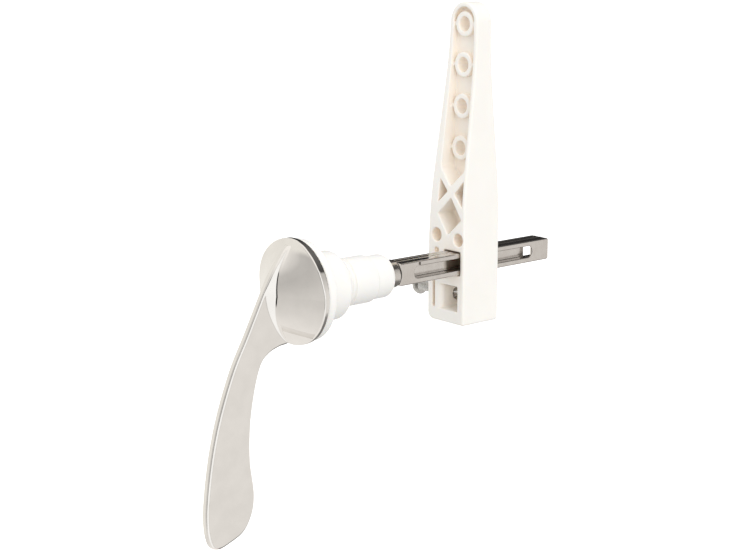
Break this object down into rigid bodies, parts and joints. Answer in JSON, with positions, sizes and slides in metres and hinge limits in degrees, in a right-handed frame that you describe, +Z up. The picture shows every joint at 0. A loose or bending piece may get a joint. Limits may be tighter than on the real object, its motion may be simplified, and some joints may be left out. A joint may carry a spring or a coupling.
{
  "type": "cistern flush lever",
  "caption": "Side-mounted flush lever: hanging paddle handle, wall bush with backnut, folded square spindle and an upright lift arm clamped on it.",
  "frame": {"origin": "on the turning axis, in the plane of the bush flange's back face, where it seats on the cistern wall", "axes": "+Y along the spindle, into the cistern; +Z up, along the lift arm; +X to the right for someone facing the handle"},
  "size_m": [0.0506, 0.1698, 0.1911],
  "materials": {
    "chrome_plate": "polished",
    "nickel_plated_steel": "satin",
    "zinc_plated_steel": "bright",
    "white_acetal": "satin",
    "cream_plastic": "satin",
    "soft_washer": "matte"
  },
  "bodies": {
    "wall_bush": {"bush": "white_acetal", "end_collar": "white_acetal", "thrust_washer": "white_acetal", "clip_washer": "white_acetal"},
    "lever": {"lever_handle": "chrome_plate", "turning_shank": "nickel_plated_steel", "cross_pin": "zinc_plated_steel", "retaining_clip": "zinc_plated_steel", "spindle": "nickel_plated_steel"},
    "arm": {"lift_arm": "cream_plastic"},
    "screw": {"clamp_screw": "zinc_plated_steel"},
    "washer": {"sealing_washer": "soft_washer"},
    "nut": {"backnut": "white_acetal"}
  },
  "joints": [
    {"name": "lever_turn", "type": "hinge", "parent": "wall_bush", "child": "lever", "pos_m": [0, 0, 0], "axis": [0, 1, 0], "range_deg": [-45, 45]},
    {"name": "arm_slide", "type": "slide", "parent": "lever", "child": "arm", "axis": [0, 1, 0], "range_m": [-0.03, 0.03]},
    {"name": "clamp_screw_travel", "type": "slide", "parent": "arm", "child": "screw", "axis": [1, 0, 0], "range_m": [0, 0.0136]},
    {"name": "washer_travel", "type": "slide", "parent": "wall_bush", "child": "washer", "axis": [0, 1, 0], "range_m": [0, 0.009]},
    {"name": "backnut_turn", "type": "hinge", "parent": "washer", "child": "nut", "pos_m": [0, 0, 0], "axis": [0, -1, 0], "range_deg": [0, 1620]}
  ],
  "couplings": [
    {"joint": "washer_travel", "follows": "backnut_turn", "m_per_rad": 0.00031831}
  ]
}
